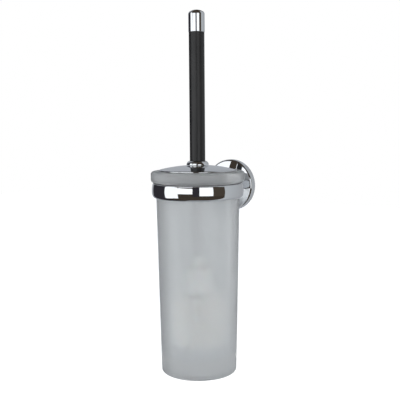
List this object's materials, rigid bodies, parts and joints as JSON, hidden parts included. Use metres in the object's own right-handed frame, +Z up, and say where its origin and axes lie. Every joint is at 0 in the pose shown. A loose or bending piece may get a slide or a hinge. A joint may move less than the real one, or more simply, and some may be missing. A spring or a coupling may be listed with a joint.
{
  "type": "toilet brush holder",
  "caption": "Wall-mounted toilet brush set: chrome ring on a rosette, frosted glass tumbler, chrome lid and brush with a black handle.",
  "frame": {"origin": "centre of the wall plate's back face, in the plane of the wall", "axes": "+Z up, +Y into the wall, so the holder stands out along -Y; +X to the right of someone facing the wall"},
  "size_m": [0.098, 0.124, 0.3776],
  "materials": {
    "chrome": "mirror-bright chrome plating",
    "steel": "turned stainless steel",
    "zinc": "raw die-cast zinc",
    "brass": "turned brass",
    "frosted_glass": "satin-etched clear glass",
    "satin_black": "satin black lacquer",
    "soft_seal": "matt grey elastomer",
    "white_plastic": "white moulded polypropylene",
    "grey_plastic": "grey moulded polypropylene",
    "bristle": "white nylon bristles"
  },
  "bodies": {
    "bracket": {"wall_plate": "zinc", "rosette": "chrome", "set_screw": "steel", "arm": "chrome", "arm_screw": "steel", "arm_washer": "steel", "arm_nut": "steel", "dowel_pins": "steel", "holder_ring": "chrome", "ring_liner": "soft_seal"},
    "tumbler": {"tumbler": "frosted_glass"},
    "lid": {"lid": "chrome", "lid_seal": "soft_seal", "lid_insert": "grey_plastic", "lid_bush": "white_plastic"},
    "brush": {"handle_cap": "chrome", "cap_seal": "soft_seal", "handle_tube": "satin_black", "tie_rod": "steel", "handle_collar": "chrome", "stem": "steel", "retaining_clip": "steel", "head_insert": "brass", "bell": "white_plastic", "bristle_core": "white_plastic", "bristles": "bristle"}
  },
  "joints": [
    {"name": "tumbler_lift", "type": "slide", "parent": "bracket", "child": "tumbler", "axis": [0, 0, 1], "range_m": [0, 0.22]},
    {"name": "brush_lift", "type": "slide", "parent": "tumbler", "child": "lid", "axis": [0, 0, 1], "range_m": [0, 0.25]},
    {"name": "brush_spin", "type": "hinge", "parent": "lid", "child": "brush", "pos_m": [0, -0.075, 0.0201], "axis": [0, 0, 1], "continuous": true}
  ]
}
